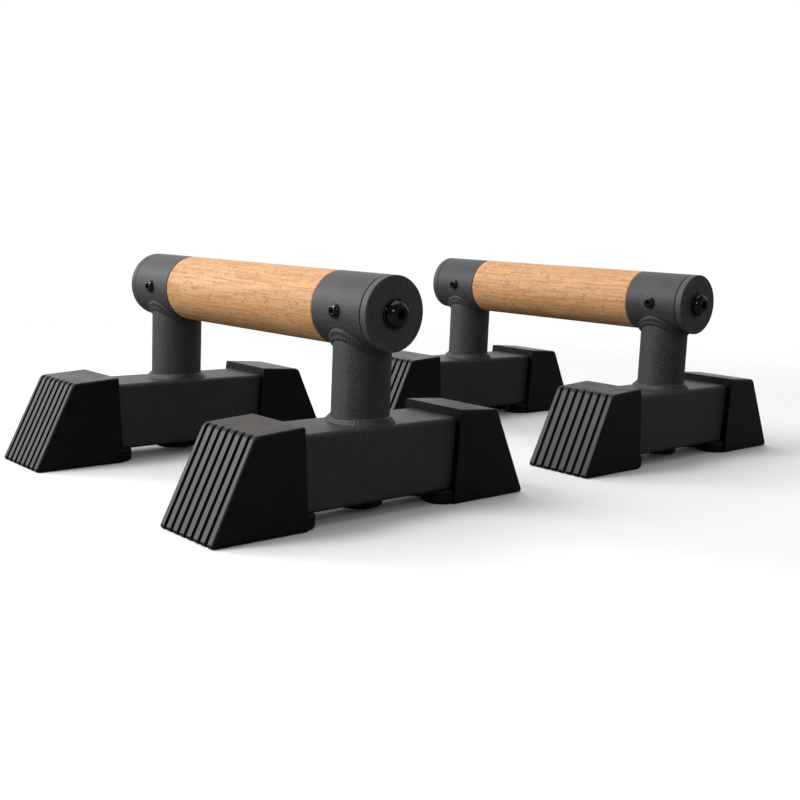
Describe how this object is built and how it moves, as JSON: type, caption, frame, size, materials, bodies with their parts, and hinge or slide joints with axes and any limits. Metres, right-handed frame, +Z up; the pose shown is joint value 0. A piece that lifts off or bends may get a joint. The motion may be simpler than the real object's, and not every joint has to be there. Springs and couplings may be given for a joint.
{
  "type": "parallel bars",
  "caption": "Pair of low free-standing parallel bars: wooden grips held in steel collars on round posts, rectangular base tubes and ribbed rubber end feet.",
  "frame": {"origin": "on the floor, midway between the two bars", "axes": "+Z up, +Y along the handles towards the rear, +X from the left bar to the right bar"},
  "size_m": [0.5876, 0.2968, 0.153],
  "materials": {
    "powder_coat": "charcoal grey powder coat with a fine sand texture",
    "beech": "fine-sanded beech, clear matt oil",
    "foot_rubber": "moulded black rubber, satin",
    "black_screw": "glossy black oxide",
    "insert_brass": "plain turned brass"
  },
  "bodies": {
    "left_bar": {"left_grip": "beech", "left_front_base_tube": "powder_coat", "left_front_post": "powder_coat", "left_front_collar": "powder_coat", "left_front_lower_weld": "powder_coat", "left_front_upper_weld": "powder_coat", "left_front_end_cap": "powder_coat", "left_front_cap_bolt": "black_screw", "left_front_threaded_insert": "insert_brass", "left_front_grip_screw": "black_screw", "left_front_centre_pad": "foot_rubber", "left_front_outer_foot": "foot_rubber", "left_front_inner_foot": "foot_rubber", "left_rear_base_tube": "powder_coat", "left_rear_post": "powder_coat", "left_rear_collar": "powder_coat", "left_rear_lower_weld": "powder_coat", "left_rear_upper_weld": "powder_coat", "left_rear_end_cap": "powder_coat", "left_rear_cap_bolt": "black_screw", "left_rear_threaded_insert": "insert_brass", "left_rear_grip_screw": "black_screw", "left_rear_centre_pad": "foot_rubber", "left_rear_outer_foot": "foot_rubber", "left_rear_inner_foot": "foot_rubber"},
    "right_bar": {"right_grip": "beech", "right_front_base_tube": "powder_coat", "right_front_post": "powder_coat", "right_front_collar": "powder_coat", "right_front_lower_weld": "powder_coat", "right_front_upper_weld": "powder_coat", "right_front_end_cap": "powder_coat", "right_front_cap_bolt": "black_screw", "right_front_threaded_insert": "insert_brass", "right_front_grip_screw": "black_screw", "right_front_centre_pad": "foot_rubber", "right_front_outer_foot": "foot_rubber", "right_front_inner_foot": "foot_rubber", "right_rear_base_tube": "powder_coat", "right_rear_post": "powder_coat", "right_rear_collar": "powder_coat", "right_rear_lower_weld": "powder_coat", "right_rear_upper_weld": "powder_coat", "right_rear_end_cap": "powder_coat", "right_rear_cap_bolt": "black_screw", "right_rear_threaded_insert": "insert_brass", "right_rear_grip_screw": "black_screw", "right_rear_centre_pad": "foot_rubber", "right_rear_outer_foot": "foot_rubber", "right_rear_inner_foot": "foot_rubber"}
  },
  "joints": [
    {"name": "bar_spacing", "type": "slide", "parent": "left_bar", "child": "right_bar", "axis": [1, 0, 0], "range_m": [-0.05, 0.35]}
  ]
}
